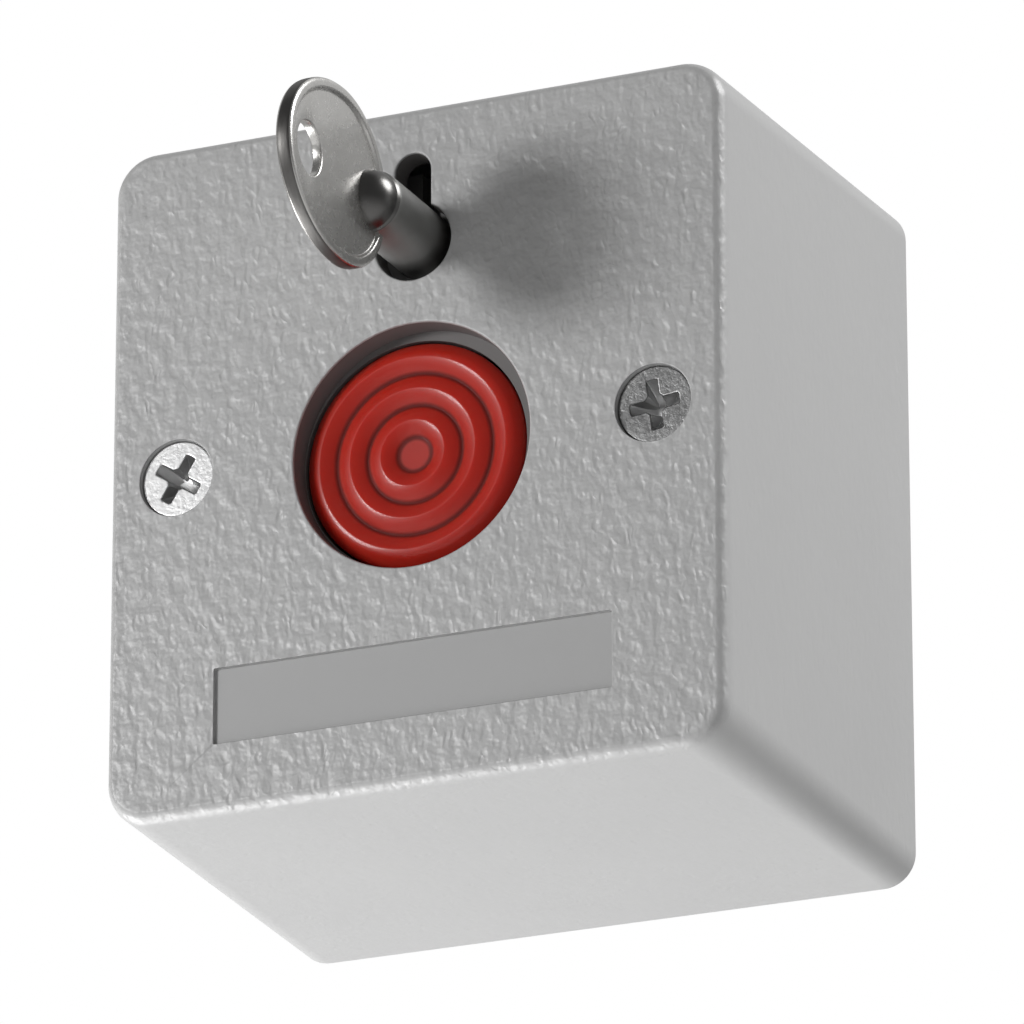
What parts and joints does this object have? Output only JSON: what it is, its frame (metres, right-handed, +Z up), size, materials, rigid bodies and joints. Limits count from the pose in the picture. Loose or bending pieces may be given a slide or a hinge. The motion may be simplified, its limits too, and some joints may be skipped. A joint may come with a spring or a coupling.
{
  "type": "wired panic button",
  "caption": "Small wall box with a recessed latching red push button, a key standing in its reset keyhole, and screw terminals behind.",
  "frame": {"origin": "centre of the back face, which goes on the wall", "axes": "+Z up, -Y out of the front face towards the person who presses, +X to that person's right"},
  "size_m": [0.0574, 0.0654, 0.0614],
  "materials": {
    "cover_plastic": "moulded with a fine leather grain",
    "base_plastic": "plain moulded",
    "button_plastic": "satin moulded",
    "plunger_plastic": "natural acetal",
    "chassis_plastic": "moulded, dark",
    "screw_plating": "bright zinc plate",
    "key_plating": "nickel plate",
    "spring_steel": "drawn wire",
    "catch_steel": "stamped and zinc plated",
    "rotor_plastic": "moulded acetal, dark",
    "strip_brass": "stamped",
    "leaf_bronze": "rolled spring strip",
    "contact_silver": "headed"
  },
  "bodies": {
    "housing": {"front_cover": "cover_plastic", "base_plate": "base_plastic", "cover_screws": "screw_plating", "chassis": "chassis_plastic", "chassis_screws": "screw_plating", "return_spring": "spring_steel", "latch_spring": "spring_steel", "com_terminal": "strip_brass", "nc_terminal": "strip_brass", "no_terminal": "strip_brass", "fixed_contacts": "contact_silver", "clamp_washers": "screw_plating", "terminal_screws": "screw_plating"},
    "button": {"push_button": "button_plastic", "plunger": "plunger_plastic", "plunger_clip": "spring_steel"},
    "leaf": {"moving_leaf": "leaf_bronze", "moving_contact": "contact_silver"},
    "cam": {"reset_cam": "rotor_plastic", "key_post": "catch_steel"},
    "key": {"reset_key": "key_plating"},
    "latch": {"latch_slider": "catch_steel"}
  },
  "joints": [
    {"name": "button_press", "type": "slide", "parent": "housing", "child": "button", "axis": [0, 1, 0], "range_m": [0, 0.0035], "stiffness_N_per_m": 400, "springref_m": -0.004, "deforming": ["return_spring"]},
    {"name": "leaf_bend", "type": "hinge", "parent": "housing", "child": "leaf", "pos_m": [0, -0.0106, -0.0127], "axis": [-1, 0, 0], "range_deg": [0, 6.9]},
    {"name": "reset_turn", "type": "hinge", "parent": "housing", "child": "cam", "pos_m": [0, -0.03, 0.0181], "axis": [0, 1, 0], "range_deg": [0, 80]},
    {"name": "latch_lift", "type": "slide", "parent": "housing", "child": "latch", "axis": [0, 0, 1], "range_m": [0, 0.001], "deforming": ["latch_spring"]},
    {"name": "key_pull", "type": "slide", "parent": "cam", "child": "key", "axis": [0, -1, 0], "range_m": [0, 0.014]}
  ],
  "couplings": [
    {"joint": "leaf_bend", "follows": "button_press", "rad_per_m": 34.28},
    {"joint": "latch_lift", "follows": "reset_turn", "m_per_rad": 0.000716}
  ]
}
